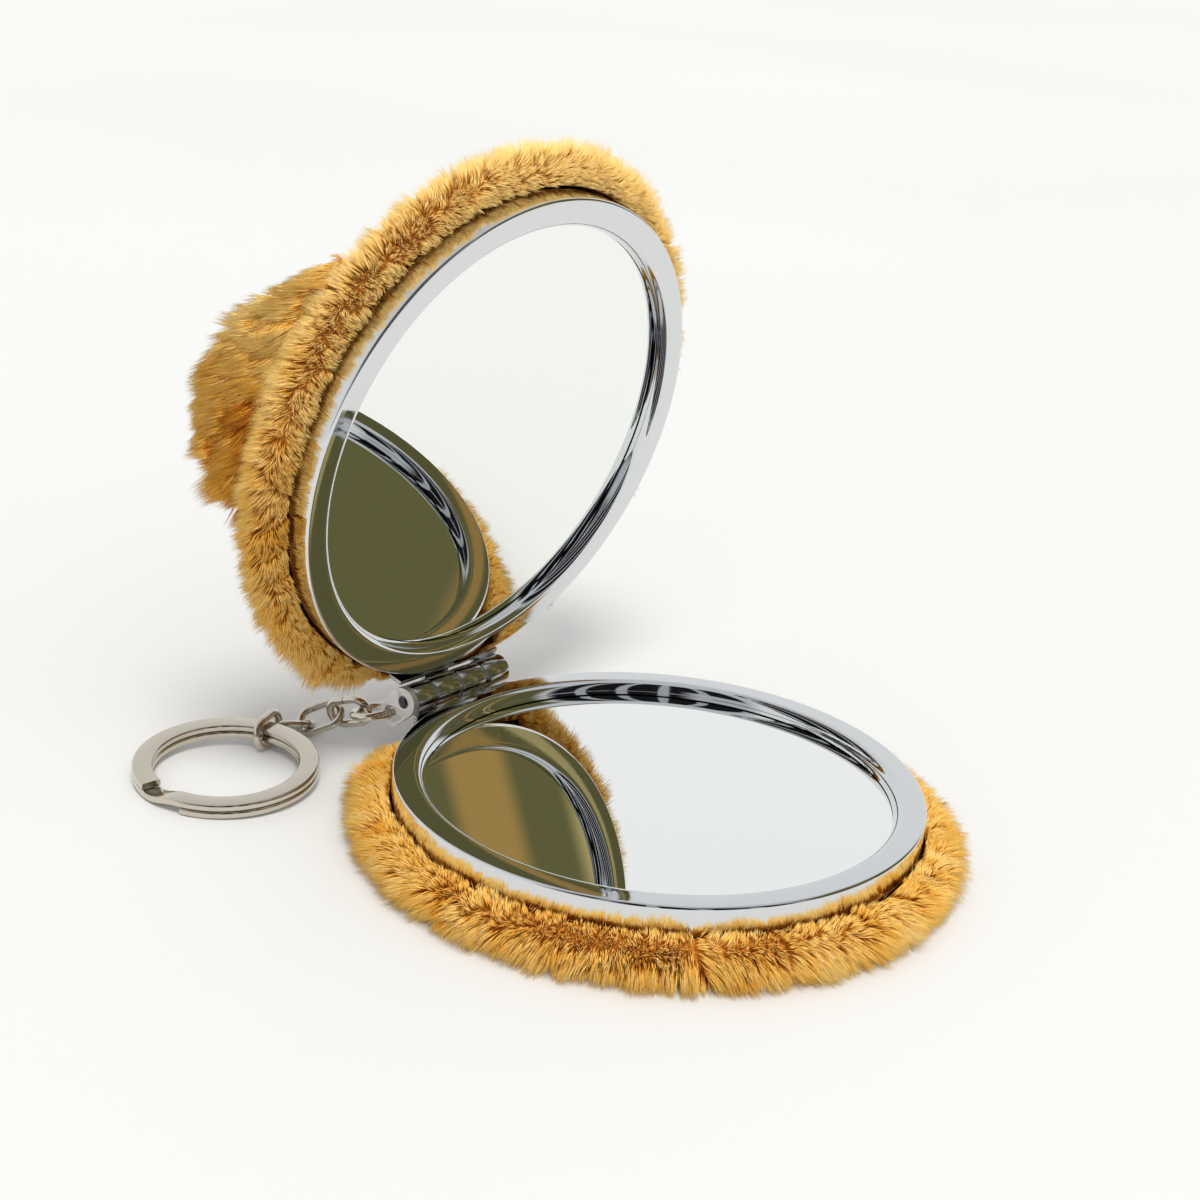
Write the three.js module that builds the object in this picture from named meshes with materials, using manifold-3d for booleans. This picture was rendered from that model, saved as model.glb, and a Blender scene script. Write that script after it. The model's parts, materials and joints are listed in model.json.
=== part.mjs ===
// Plush folding compact mirror on a key chain, with two stuffed animal ears on the lid.
// Millimetres, +Z up. The origin is the centre of the base's underside, on the table.
// The hinge runs along X at the rear (+Y), and the lid stands open.
import * as THREE from "three";
import { mergeVertices } from "three/addons/utils/BufferGeometryUtils.js";
import Module from "manifold-3d";

const wasm = await Module();
wasm.setup();

// ---------- driving dimensions ----------
const RIM_R = 35; // outer radius of each chrome rim
const FLANGE_R = 32.2; // inner radius of the rim's flat face
const LIP_R = 30.8; // radius of the rounded lip that frames the glass
const LIP_DEPTH = 1.8; // how far the lip turns down to the glass
const RIM_DEPTH = 4.4; // height of the rim's side wall
const SHEET = 0.5; // rim sheet metal
const BASE_H = 9; // base underside to its rim plane
const LID_H = 11.6; // rim plane to the crown of the lid's padded back
const PLUSH_R = 40; // widest radius of the plush covers
const PLUSH_TOP = 3; // the covers stop this far short of the rim plane
const PLUSH_BORE = 35.25; // inside radius of the plush covers
const CLOTH = 1.3; // plush backing with its pile pressed down
const OPEN_ANGLE = 78; // degrees between the rim planes

const HINGE_Y = 38; // hinge axis behind the centre
const HINGE_RISE = 0.2; // hinge axis above each closed rim plane
const BARREL_R = 2.15;
const BORE_R = 0.9;
const PIN_R = 0.82;
const BARREL_HALF = 9.8; // half the barrel's length
const KNUCKLES = 4;
const KNUCKLE_GAP = 0.12;
const LEAF_T = 0.55;
const LEAF_GAP = 0.25; // between the rim's side wall and the leaves
const LEAF_TOP = 1; // the leaves start this far below the rim plane
const TAIL_T = 0.75; // the knuckle's tail
const LEAF_REACH = 27; // the leaves end this far behind the centre
const LUG_T = 0.9; // ear on the hinge that takes the chain
const LUG_DROP = 2.4; // lug hole behind and below the hinge axis, each way
const LUG_HOLE_R = 1.1;
const LUG_R = 1.95;

const GLASS_R = 33.3;
const GLASS_T = 1.2;
const TAPE_T = 0.3;
const GAP = 0.15; // air between stacked pieces
const MAGNET_R = 1;
const MAGNET_T = 1;
const MAGNET_AT = 33.2;

const EAR_ANGLE = 14; // degrees that each ear sits away from the hinge
const EAR_AT = 31.5; // radius of the ear's middle
const EAR_FOOT = 9.5; // height of the ear's widest section over the rim plane
const EAR_LEAN = 8; // degrees outward
// Half the ear's thickness, its height, its reach along the rim on each side of the tip, and
// how far the tip sits towards the hinge. The side away from the hinge slopes down gently.
const EAR = { thick: 4.8, tall: 14.2, away: 22, towards: 13, tip: 2, slope: 1.6 };

const WIRE_R = 0.575; // chain wire
const SEAM = 0.12; // gap where a link's wire ends meet
const RING_D = 7.4; // outside of the jump ring in the lug
const LINK_L = 7.6; // outside length and width of an oval link
const LINK_W = 5;
const PLAY = 0.5; // slack between neighbouring links
// Where each link points: heading from +X, drop below level, and roll about its own length.
const CHAIN = [
  { name: "lug_ring", heading: 98, drop: 15, roll: 1 },
  { name: "chain_link_1", heading: 105, drop: 20, roll: 79 },
  { name: "chain_link_2", heading: 131, drop: 25, roll: 142 },
  { name: "chain_link_3", heading: 175, drop: -14, roll: 202 },
  { name: "chain_link_4", heading: 201, drop: 2, roll: 276 },
];
const KEY_RING_R = 12.5; // outside radius of the split ring
const BAND = { wide: 2.7, thick: 0.95, pitch: 1.05, sweep: 688, jog: 26 }; // its flat strip
const KEY_RING_TILT = 3.8; // the ring rests on the last link's lower wire
const KEY_RING_LIFT = 1.86;

// ---------- materials ----------
const material = (color, roughness, metalness) =>
  new THREE.MeshStandardMaterial({ color, roughness, metalness });
const CHROME = () => material(0xd9dcde, 0.08, 1);
const NICKEL = () => material(0xc9c5bb, 0.2, 1);
const GLASS = () => material(0xf2f5f4, 0.02, 1);
const STEEL = () => material(0x9a9c9e, 0.35, 1);
const PLUSH = () => material(0xd9a85a, 0.95, 0);
const FOAM = () => material(0xf0ead8, 0.9, 0);
const FIBRE = () => material(0xf4f1ea, 1, 0);
const TAPE = () => material(0xe6e6e2, 0.7, 0);
const MAGNET = () => material(0xb8babd, 0.25, 1);

// ---------- helpers ----------
const rad = THREE.MathUtils.degToRad;
const LATHE_STEPS = 48;
const RIM_STEPS = 60;

function part(name, geometry, finish) {
  const mesh = new THREE.Mesh(geometry, finish);
  mesh.name = name;
  return mesh;
}

function toSolid(geometry) {
  const bare = geometry.index ? geometry.toNonIndexed() : geometry.clone();
  bare.deleteAttribute("normal");
  bare.deleteAttribute("uv");
  const merged = mergeVertices(bare, 1e-4);
  return new wasm.Manifold(
    new wasm.Mesh({
      numProp: 3,
      vertProperties: merged.attributes.position.array,
      triVerts: new Uint32Array(merged.index.array),
    }),
  );
}

function toGeometry(solid) {
  const mesh = solid.getMesh();
  const geometry = new THREE.BufferGeometry();
  geometry.setAttribute("position", new THREE.BufferAttribute(mesh.vertProperties, 3));
  geometry.setIndex(new THREE.BufferAttribute(mesh.triVerts, 1));
  geometry.computeVertexNormals();
  return geometry;
}

// A solid of revolution about Z from [radius, height] points.
function lathe(profile, steps = LATHE_STEPS) {
  const points = profile.map(([r, z]) => new THREE.Vector2(r, z));
  return new THREE.LatheGeometry(points, steps).rotateX(Math.PI / 2);
}

function disc(radius, low, high, steps = LATHE_STEPS) {
  const profile = [
    [0, low],
    [radius, low],
    [radius, high],
    [0, high],
  ];
  return lathe(profile, steps);
}

function box(x0, x1, y0, y1, z0, z1) {
  const geometry = new THREE.BoxGeometry(x1 - x0, y1 - y0, z1 - z0);
  return geometry.translate((x0 + x1) / 2, (y0 + y1) / 2, (z0 + z1) / 2);
}

// A cylinder along X.
function rod(radius, x0, x1, y, z, sides = 24) {
  const geometry = new THREE.CylinderGeometry(radius, radius, x1 - x0, sides);
  return geometry.rotateZ(Math.PI / 2).translate((x0 + x1) / 2, y, z);
}

// Points on an arc about (r, z), from one angle to another.
function arc(r, z, radius, from, to, steps) {
  return Array.from({ length: steps + 1 }, (_, i) => {
    const a = rad(from + ((to - from) * i) / steps);
    return [r + radius * Math.cos(a), z + radius * Math.sin(a)];
  });
}

// ---------- the pieces of one half, with the rim plane at z = 0 and the back upwards ----------
const LEAF_IN = RIM_DEPTH + 0.4; // the hinge leaf passes under the pan here
const NOTCH_HALF = BARREL_HALF + 0.5; // half the slot that the leaves pass through
const FLAT_HALF = NOTCH_HALF + 5; // half the width where the covers are cut flat for the barrel
const FLAT_Y = 36.8; // where that flat is
const SLOT_Y = RIM_R + LEAF_GAP + LEAF_T + 0.3;

// Sheet metal: side wall, flat face and a lip that curls down to the glass.
function rimGeometry() {
  const lipArc = (steps, grow) =>
    Array.from({ length: steps + 1 }, (_, i) => {
      const a = rad((90 * i) / steps);
      const across = FLANGE_R - LIP_R;
      return [FLANGE_R - across * Math.sin(a) + grow, LIP_DEPTH * (1 - Math.cos(a)) + grow];
    });
  const outer = lipArc(5, 0);
  const inner = lipArc(3, SHEET).map(([r, z]) => [r, Math.min(z, LIP_DEPTH)]);
  inner.pop();
  inner.push([LIP_R + SHEET, LIP_DEPTH]);
  return lathe(
    [
      outer[0],
      ...arc(RIM_R - SHEET, SHEET, SHEET, -90, 0, 3),
      [RIM_R, RIM_DEPTH],
      [RIM_R - SHEET, RIM_DEPTH],
      [RIM_R - SHEET, SHEET],
      ...inner,
      ...outer.reverse(),
    ],
    RIM_STEPS,
  );
}

const GLASS_Z = LIP_DEPTH + GAP;
const TAPE_Z = GLASS_Z + GLASS_T + GAP / 2;
const PAN_Z = TAPE_Z + TAPE_T + GAP / 2;
const PAN_T = 0.6;
const PAN_R = RIM_R - SHEET - GAP;
const PAN_WALL = 0.5;

function panGeometry() {
  return lathe([
    [0, PAN_Z],
    [PAN_R - PAN_WALL, PAN_Z],
    [PAN_R - PAN_WALL, GLASS_Z + 2 * GAP],
    [PAN_R, GLASS_Z + 2 * GAP],
    [PAN_R, PAN_Z + PAN_T],
    [0, PAN_Z + PAN_T],
  ]);
}

// The back of each plush cover, from the middle out to its widest line.
const BASE_BACK = [
  [0, BASE_H],
  [36.6, BASE_H],
  [38.5, BASE_H - 0.7],
  [39.6, BASE_H - 2],
];
const LID_BACK = [
  [0, LID_H],
  [14, LID_H - 0.2],
  [26, LID_H - 1],
  [33, LID_H - 2.2],
  [37, LID_H - 3.7],
  [39.3, LID_H - 5.4],
];
const BORDER = [
  [PLUSH_R, 5],
  [39.3, 3.9],
  [37.7, 3.2],
  [35.9, PLUSH_TOP],
];

// A solid from the foot up to the cover's back, lowered by the inset.
function underBack(back, foot, radius, inset) {
  const top = back.filter(([r]) => r < radius).map(([r, z]) => [r, z - inset]);
  const last = back.find(([r]) => r >= radius);
  const before = back[back.indexOf(last) - 1];
  const share = (radius - before[0]) / (last[0] - before[0]);
  const edge = before[1] + share * (last[1] - before[1]) - inset;
  return lathe([[0, foot], [radius, foot], [radius, edge], ...top.reverse()]);
}

// The cover is a cloth cup, cut back at the hinge so that the barrel and leaves have room.
function coverGeometry(back) {
  const edge = PLUSH_TOP + 0.4;
  const outline = [...back, ...BORDER, [PLUSH_BORE, edge], [0, edge]];
  const below = PLUSH_TOP - 1;
  const slotTop = LEAF_IN + LEAF_T + 0.65;
  const cup = toSolid(lathe([...outline].reverse()))
    .subtract(toSolid(underBack(back, below, PLUSH_BORE, CLOTH)))
    .subtract(toSolid(box(-FLAT_HALF, FLAT_HALF, FLAT_Y, PLUSH_R + 5, 0, 2 * LID_H)))
    .subtract(toSolid(box(-NOTCH_HALF, NOTCH_HALF, SLOT_Y - 3, SLOT_Y, below, slotTop)));
  return toGeometry(cup);
}

function foamGeometry(back) {
  const foot = PAN_Z + PAN_T + GAP;
  const pad = toSolid(underBack(back, foot, PAN_R, CLOTH + GAP)).subtract(
    toSolid(box(-NOTCH_HALF, NOTCH_HALF, LEAF_REACH - 0.5, PLUSH_R, 0, LEAF_IN + LEAF_T + GAP)),
  );
  return toGeometry(pad);
}

// Every second knuckle from the first, the bent leaf behind the rim and, on the base, the lug
// for the chain.
function leafGeometry(first, withLug) {
  const step = (2 * BARREL_HALF) / KNUCKLES;
  const near = RIM_R + LEAF_GAP;
  const far = near + LEAF_T;
  const back = LEAF_IN + LEAF_T;
  const axisZ = -HINGE_RISE;
  let leaf = toSolid(box(-BARREL_HALF, BARREL_HALF, near, far, LEAF_TOP, back));
  leaf = leaf.add(toSolid(box(-BARREL_HALF, BARREL_HALF, LEAF_REACH, far, LEAF_IN, back)));
  let bores = null;
  for (let i = first; i < KNUCKLES; i += 2) {
    const x0 = -BARREL_HALF + i * step + KNUCKLE_GAP / 2;
    const x1 = x0 + step - KNUCKLE_GAP;
    leaf = leaf.add(toSolid(rod(BARREL_R, x0, x1, HINGE_Y, axisZ, 32)));
    leaf = leaf.add(toSolid(box(x0, x1, near, HINGE_Y - BORE_R, LEAF_TOP, LEAF_TOP + TAIL_T)));
  }
  if (withLug) {
    const x0 = -BARREL_HALF + KNUCKLE_GAP / 2;
    const y = HINGE_Y + LUG_DROP;
    const z = axisZ + LUG_DROP;
    const eye = toSolid(rod(LUG_R, x0, x0 + LUG_T, y, z, 28));
    const neck = toSolid(box(x0, x0 + LUG_T, -LUG_R, LUG_R, -LUG_DROP * Math.SQRT2, 0));
    leaf = leaf.add(eye).add(neck.rotate([-45, 0, 0]).translate([0, y, z]));
    bores = toSolid(rod(LUG_HOLE_R, x0 - 1, x0 + LUG_T + 1, y, z, 24));
  }
  const pinBore = toSolid(rod(BORE_R, -BARREL_HALF - 1, BARREL_HALF + 1, HINGE_Y, axisZ));
  leaf = leaf.subtract(pinBore);
  return toGeometry(bores ? leaf.subtract(bores) : leaf);
}

function halfPieces(prefix, back) {
  const inside = SHEET + LEAF_GAP;
  const magnet = disc(MAGNET_R, inside, inside + MAGNET_T, 16);
  return [
    part(`${prefix}_rim`, rimGeometry(), CHROME()),
    part(`${prefix}_mirror`, disc(GLASS_R, GLASS_Z, GLASS_Z + GLASS_T), GLASS()),
    part(`${prefix}_mirror_tape`, disc(GLASS_R - 3, TAPE_Z, TAPE_Z + TAPE_T), TAPE()),
    part(`${prefix}_back_pan`, panGeometry(), STEEL()),
    part(`${prefix}_foam_pad`, foamGeometry(back), FOAM()),
    part(`${prefix}_plush_cover`, coverGeometry(back), PLUSH()),
    part(`${prefix}_magnet`, magnet.translate(0, -MAGNET_AT, 0), MAGNET()),
  ];
}

// ---------- ears ----------
// How much lower than an egg the ear is, at a share of its reach away from the hinge.
function shoulder(share) {
  if (share > 0.99) return 0.2;
  return Math.max(0.2, (1 - share ** EAR.slope) / Math.sqrt(1 - share * share));
}

// A stuffed ear on the lid's back, leaning outward: an egg with one sloping shoulder.
function earBody(shrink) {
  const egg = new THREE.SphereGeometry(1, 24, 14).rotateX(Math.PI / 2);
  const points = egg.attributes.position;
  for (let i = 0; i < points.count; i++) {
    const along = points.getY(i);
    const reach = along < 0 ? EAR.away : EAR.towards;
    const height = (EAR.tall - shrink) * (along < 0 ? shoulder(-along) : 1);
    const x = points.getX(i) * (EAR.thick - shrink);
    points.setXYZ(i, x, EAR.tip + along * (reach - shrink), points.getZ(i) * height);
  }
  egg.rotateY(-rad(EAR_LEAN)).translate(-EAR_AT, 0, EAR_FOOT);
  return toSolid(egg.rotateZ(rad(EAR_ANGLE)));
}

// Everything below the lid cover's outer face, raised by the gap.
function belowEars(gap) {
  const wide = 1.5 * PLUSH_R;
  const deep = -PLUSH_R;
  const face = [...LID_BACK, BORDER[0], [wide, BORDER[0][1]]].map(([r, z]) => [r, z + gap]);
  return toSolid(lathe([[0, deep], [wide, deep], ...face.reverse()]));
}

function earPieces(side) {
  const skin = earBody(0).subtract(earBody(CLOTH)).subtract(belowEars(2 * GAP));
  const filling = earBody(CLOTH + GAP).subtract(belowEars(3 * GAP));
  const pieces = [
    part(`ear_${side}`, toGeometry(skin), PLUSH()),
    part(`ear_${side}_stuffing`, toGeometry(filling), FIBRE()),
  ];
  if (side === "right") pieces.forEach((piece) => piece.scale.set(-1, 1, 1));
  return pieces;
}

// ---------- chain ----------
// An oval or round wire loop that starts and ends at its seam, in its own XY plane.
// The seam is left a hair open, as on a bent link that isn't soldered.
class WireLoop extends THREE.Curve {
  constructor(length, width) {
    super();
    this.end = width / 2;
    this.leg = length - width;
    this.total = 2 * this.leg + 2 * Math.PI * this.end;
  }

  getPoint(t, target = new THREE.Vector3()) {
    let s = SEAM / 2 + t * (this.total - SEAM) + this.leg / 2;
    const turn = Math.PI * this.end;
    const far = this.leg / 2;
    s %= this.total;
    if (s < this.leg) return target.set(far - s, this.end, 0);
    s -= this.leg;
    if (s < turn) {
      const a = Math.PI / 2 + s / this.end;
      return target.set(-far + this.end * Math.cos(a), this.end * Math.sin(a), 0);
    }
    s -= turn;
    if (s < this.leg) return target.set(-far + s, -this.end, 0);
    s -= this.leg;
    const a = -Math.PI / 2 + s / this.end;
    return target.set(far + this.end * Math.cos(a), this.end * Math.sin(a), 0);
  }
}

function wireGeometry(length, width, steps) {
  const sides = 8;
  const section = new THREE.Shape(
    Array.from({ length: sides }, (_, i) => {
      const a = (2 * Math.PI * (i + 0.5)) / sides;
      return new THREE.Vector2(WIRE_R * Math.cos(a), WIRE_R * Math.sin(a));
    }),
  );
  return new THREE.ExtrudeGeometry(section, { steps, extrudePath: new WireLoop(length, width) });
}

// A group turned so that its +X runs along the link, with the given roll.
function aimed({ heading, drop, roll }) {
  const group = new THREE.Group();
  group.rotation.set(rad(roll), rad(drop), rad(heading), "ZYX");
  return group;
}

function alongX(group, distance) {
  return new THREE.Vector3(distance, 0, 0).applyEuler(group.rotation).add(group.position);
}

// The strip of the split ring: two flat turns, with a short jog between them.
class SplitRing extends THREE.Curve {
  getPoint(t, target = new THREE.Vector3()) {
    const a = rad(t * BAND.sweep);
    const radius = KEY_RING_R - BAND.wide / 2;
    const halfJog = BAND.jog / BAND.sweep / 2;
    const rise = THREE.MathUtils.smoothstep(t, 0.5 - halfJog, 0.5 + halfJog) - 0.5;
    return target.set(radius * Math.cos(a), radius * Math.sin(a), BAND.pitch * rise);
  }
}

function keyRingGeometry() {
  const section = new THREE.Shape([
    new THREE.Vector2(-BAND.thick / 2, -BAND.wide / 2),
    new THREE.Vector2(BAND.thick / 2, -BAND.wide / 2),
    new THREE.Vector2(BAND.thick / 2, BAND.wide / 2),
    new THREE.Vector2(-BAND.thick / 2, BAND.wide / 2),
  ]);
  return new THREE.ExtrudeGeometry(section, { steps: 80, extrudePath: new SplitRing() });
}

function chainPieces() {
  const pieces = [];
  const start = new THREE.Vector3(
    -BARREL_HALF + (KNUCKLE_GAP + LUG_T) / 2,
    HINGE_Y + LUG_DROP,
    BASE_H + HINGE_RISE - LUG_DROP,
  );
  const wire = 2 * WIRE_R;
  let at = start;
  let last = null;
  CHAIN.forEach((link, i) => {
    const round = i === 0;
    const length = (round ? RING_D : LINK_L) - wire;
    const width = (round ? RING_D : LINK_W) - wire;
    const near = round ? 0 : wire + PLAY; // the wire behind the pivot
    const group = aimed(link);
    group.position.copy(at);
    const mesh = part(link.name, wireGeometry(length, width, round ? 24 : 22), NICKEL());
    mesh.position.x = length / 2 - near;
    group.add(mesh);
    pieces.push(group);
    at = alongX(group, length - near);
    last = group;
  });
  const reach = LINK_L - 3 * wire - PLAY + WIRE_R - PLAY - BAND.wide + KEY_RING_R;
  const ring = part("key_ring", keyRingGeometry(), NICKEL());
  const centre = alongX(last, reach);
  const heading = CHAIN[CHAIN.length - 1].heading;
  ring.position.set(centre.x, centre.y, KEY_RING_LIFT);
  ring.rotation.set(0, rad(KEY_RING_TILT), rad(heading), "ZYX");
  pieces.push(ring);
  return pieces;
}

// ---------- assembly ----------
const mirror = new THREE.Group();

const base = new THREE.Group(); // the back faces down
base.position.z = BASE_H;
base.rotation.y = Math.PI;
base.add(...halfPieces("base", BASE_BACK));
mirror.add(base);

// The base's leaf is mirrored, not turned over, so that its knuckles fit between the lid's.
const baseLeaf = part("base_hinge_leaf", leafGeometry(0, true), CHROME());
baseLeaf.scale.z = -1;
baseLeaf.position.z = BASE_H;
mirror.add(baseLeaf);

const pin = rod(PIN_R, -BARREL_HALF + 1, BARREL_HALF - 0.5, HINGE_Y, BASE_H + HINGE_RISE, 20);
mirror.add(part("hinge_pin", pin, STEEL()));

const hinge = new THREE.Group(); // turns the lid about the hinge axis
hinge.position.set(0, HINGE_Y, BASE_H + HINGE_RISE);
hinge.rotation.x = -rad(OPEN_ANGLE);
const lid = new THREE.Group();
lid.position.set(0, -HINGE_Y, HINGE_RISE);
lid.add(...halfPieces("lid", LID_BACK));
lid.add(part("lid_hinge_leaf", leafGeometry(1, false), CHROME()));
lid.add(...earPieces("left"), ...earPieces("right"));
hinge.add(lid);
mirror.add(hinge);

mirror.add(...chainPieces());

export default mirror;
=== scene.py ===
"""Looks of a plush folding compact mirror with two ears and a key chain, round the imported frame."""
import json
import math

import bmesh
import bpy
import numpy as np
from mathutils import Matrix, Vector, kdtree, noise


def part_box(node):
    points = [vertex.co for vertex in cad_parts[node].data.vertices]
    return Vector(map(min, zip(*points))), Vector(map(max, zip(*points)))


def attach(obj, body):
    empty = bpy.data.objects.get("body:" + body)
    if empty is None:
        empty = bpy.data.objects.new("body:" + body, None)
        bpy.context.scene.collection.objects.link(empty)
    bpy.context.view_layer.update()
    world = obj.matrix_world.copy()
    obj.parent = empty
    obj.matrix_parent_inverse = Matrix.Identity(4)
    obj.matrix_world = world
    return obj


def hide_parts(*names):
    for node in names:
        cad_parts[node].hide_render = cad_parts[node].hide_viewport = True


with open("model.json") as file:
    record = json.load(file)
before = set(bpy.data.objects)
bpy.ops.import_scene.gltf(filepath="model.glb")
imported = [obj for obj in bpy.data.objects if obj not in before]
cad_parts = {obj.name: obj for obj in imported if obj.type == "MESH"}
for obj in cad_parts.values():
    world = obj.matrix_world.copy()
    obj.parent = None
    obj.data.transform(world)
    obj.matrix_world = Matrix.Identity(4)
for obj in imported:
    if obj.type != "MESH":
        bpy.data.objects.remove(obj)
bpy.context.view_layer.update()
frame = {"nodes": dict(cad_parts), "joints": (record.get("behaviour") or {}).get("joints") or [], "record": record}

MM = 0.001
rng = np.random.default_rng(20)

# ---------- sizes, in metres ----------
RIM_WALL = 4.4 * MM  # height of the chrome side wall
SHEET = 0.5 * MM
FLANGE_R = 32.2 * MM
LIP_R = 30.8 * MM
LIP_DEPTH = 1.8 * MM
LIP_STEP = 0.05 * MM  # a short flat between the flange and the lip
RIM_EDGE = 0.4 * MM  # rounding of the rim's outer edge
WALL_EDGE = 0.15 * MM  # chamfer at the end of the rim's wall

BARREL_R = 2.15 * MM
BORE_R = 0.9 * MM
PIN_R = 0.82 * MM
PIN_DOME = 0.3 * MM
LEAF_T = 0.55 * MM
LEAF_GAP = 0.25 * MM  # between the rim's side wall and the leaves
LEAF_TOP = 1.0 * MM  # the leaves start this far below the rim plane
LEAF_REACH = 8.0 * MM  # how far each leaf runs in under its pan
LEAF_EDGE = 0.1 * MM  # rounding of the leaves' edges
TAIL_T = 0.75 * MM  # each knuckle's tail
TAIL_OVERLAP = 0.1 * MM  # how far the tail runs into its leaf
KNUCKLE_EDGE = 0.24 * MM
PAN_ROOM = 0.4 * MM  # from the end of the rim's wall to the leaf
KNUCKLE_GAP = 0.12 * MM
KNUCKLES = 4
LUG_T = 0.9 * MM
LUG_DROP = 2.4 * MM
LUG_HOLE_R = 1.1 * MM
LUG_R = 1.95 * MM

WIRE_R = 0.575 * MM
SEAM = 0.12 * MM  # a bent link's open seam
# The split ring's strip: its section, the rise of one turn, and its turns and jog in degrees.
STRIP = {
    "wide": 2.7 * MM, "thick": 0.95 * MM, "edge": 0.28 * MM, "pitch": 1.05 * MM, "sweep": 688,
    "jog": 26,
}

CLOTH = 0.4 * MM
PILE = 3.4 * MM
FLOOR_CLEAR = 0.05 * MM
EAR = {"angle": 14, "lean": 8, "at": 31.5 * MM, "foot": 9.5 * MM, "sink": 0.25 * MM}
STUFFING = (0.9 * MM, 0.4 * MM)  # how far it stays inside the ear, and over the lid's backing
# Under the pile: half the thickness, the height, the reach away from the hinge and towards it,
# and how far the tip sits towards the hinge. The side away from the hinge slopes down gently.
EAR_SHAPE = {
    "thick": 3.8 * MM, "tall": 12.6 * MM, "away": 20.5 * MM, "towards": 12 * MM, "tip": 2 * MM,
    "slope": 1.6,
}

# Photograph's viewpoint: degrees, then the distance and the point looked at.
CAMERA = {"azimuth": -51.343, "elevation": 20.63, "roll": 4.819, "distance": 260.127 * MM}
LOOK_AT = Vector((-8.433 * MM, 5.778 * MM, 33.954 * MM))
LENS, SENSOR = 62.08, 36.0


# ---------- camera, floor and light ----------
def aim(azimuth, elevation):
    """Unit vector from the object towards a viewer; azimuth 0 stands at -Y and looks along +Y."""
    a, e = math.radians(azimuth), math.radians(elevation)
    return Vector((math.sin(a) * math.cos(e), -math.cos(a) * math.cos(e), math.sin(e)))


def make_camera():
    data = bpy.data.cameras.new("camera")
    data.lens, data.sensor_width = LENS, SENSOR
    data.clip_start, data.clip_end = 0.01, 20
    camera = bpy.data.objects.new("camera", data)
    bpy.context.scene.collection.objects.link(camera)
    back = aim(CAMERA["azimuth"], CAMERA["elevation"])
    turn = (-back).to_track_quat("-Z", "Y").to_matrix().to_4x4()
    roll = Matrix.Rotation(math.radians(CAMERA["roll"]), 4, "Z")
    camera.matrix_world = Matrix.Translation(LOOK_AT + back * CAMERA["distance"]) @ turn @ roll
    bpy.context.scene.camera = camera


def sun(name, azimuth, elevation, angle, strength, colour=(1, 1, 1)):
    data = bpy.data.lights.new(name, "SUN")
    data.angle, data.energy, data.color = math.radians(angle), strength, colour
    light = bpy.data.objects.new(name, data)
    light.matrix_world = aim(azimuth, elevation).to_track_quat("Z", "Y").to_matrix().to_4x4()
    light.visible_glossy = False
    bpy.context.scene.collection.objects.link(light)


# ---------- node helpers ----------
def srgb(r, g, b):
    """A colour given as 0 to 255 screen values, as the linear colour that shaders take."""

    def linear(c):
        return ((c / 255 + 0.055) / 1.055) ** 2.4 if c > 10 else c / 255 / 12.92

    return linear(r), linear(g), linear(b), 1


class Nodes:
    """A small builder for one node tree."""

    def __init__(self, tree):
        self.tree = tree
        tree.nodes.clear()

    def add(self, kind, **settings):
        node = self.tree.nodes.new(kind)
        for name, value in settings.items():
            if name.startswith("in_"):
                self.set(node, name[3:].replace("_", " "), value)
            else:
                setattr(node, name, value)
        return node

    def set(self, node, name, value):
        socket = node.inputs[int(name)] if name.isdigit() else node.inputs[name]
        if isinstance(value, bpy.types.NodeSocket):
            self.tree.links.new(value, socket)
        else:
            socket.default_value = value

    def math(self, operation, a, b=0.0, c=0.0):
        return self.add("ShaderNodeMath", operation=operation, in_0=a, in_1=b, in_2=c).outputs[0]

    def ramp(self, value, stops):
        node = self.add("ShaderNodeValToRGB", in_Fac=value)
        ramp = node.color_ramp
        while len(ramp.elements) < len(stops):
            ramp.elements.new(0.5)
        for element, (at, colour) in zip(ramp.elements, stops):
            element.position, element.color = at, colour
        return node.outputs["Color"]

    def spread(self, value, low, high, to_low, to_high):
        node = self.add("ShaderNodeMapRange", interpolation_type="SMOOTHSTEP")
        for i, v in enumerate((value, low, high, to_low, to_high)):
            self.set(node, str(i), v)
        return node.outputs[0]

    def mix(self, factor, a, b):
        node = self.add("ShaderNodeMix", data_type="RGBA")
        self.set(node, "0", factor)
        self.set(node, "6", a)
        self.set(node, "7", b)
        return node.outputs[2]

    def noise(self, scale, detail=2.0, stretch=(1, 1, 1)):
        place = self.add("ShaderNodeTexCoord").outputs["Object"]
        place = self.add("ShaderNodeMapping", in_Vector=place, in_Scale=stretch).outputs[0]
        node = self.add("ShaderNodeTexNoise", in_Vector=place, in_Scale=scale, in_Detail=detail)
        return node.outputs["Fac"]


# What shiny surfaces see round the object, in degrees. A sector is its middle, counted from +X, and
# how far from it it starts and ends to fade. A pair of heights is where a stretch fades out.
OLIVE, BROWN, TAN = srgb(96, 93, 60), srgb(158, 128, 74), srgb(172, 158, 108)
CURTAIN = {"sector": (-42, 30, 42), "top": (48, 56)}
FOLDS = [((-47.3, 0.5, 1.1), BROWN), ((-44.0, 0.7, 1.3), TAN), ((-31.0, 0.8, 2.2), BROWN)]
ROOM = {"sector": (-135, 48, 60), "top": (66, 72), "dark": srgb(26, 26, 28), "pale": srgb(170, 172, 176)}
BARS = {"turn": 0.3, "fade": (0.55, 0.8)}  # pale bars in the room: radians a degree, and their edges
WINDOW = {"sector": (178, 22, 34), "height": 13, "fade": (7, 15), "colour": srgb(186, 189, 193)}
SKY = {"height": (20, 70), "low": (0.86, 0.87, 0.87, 1), "high": (0.62, 0.63, 0.65, 1)}
DOME = (0.68, 0.69, 0.7, 1)  # what lights matt surfaces
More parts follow.
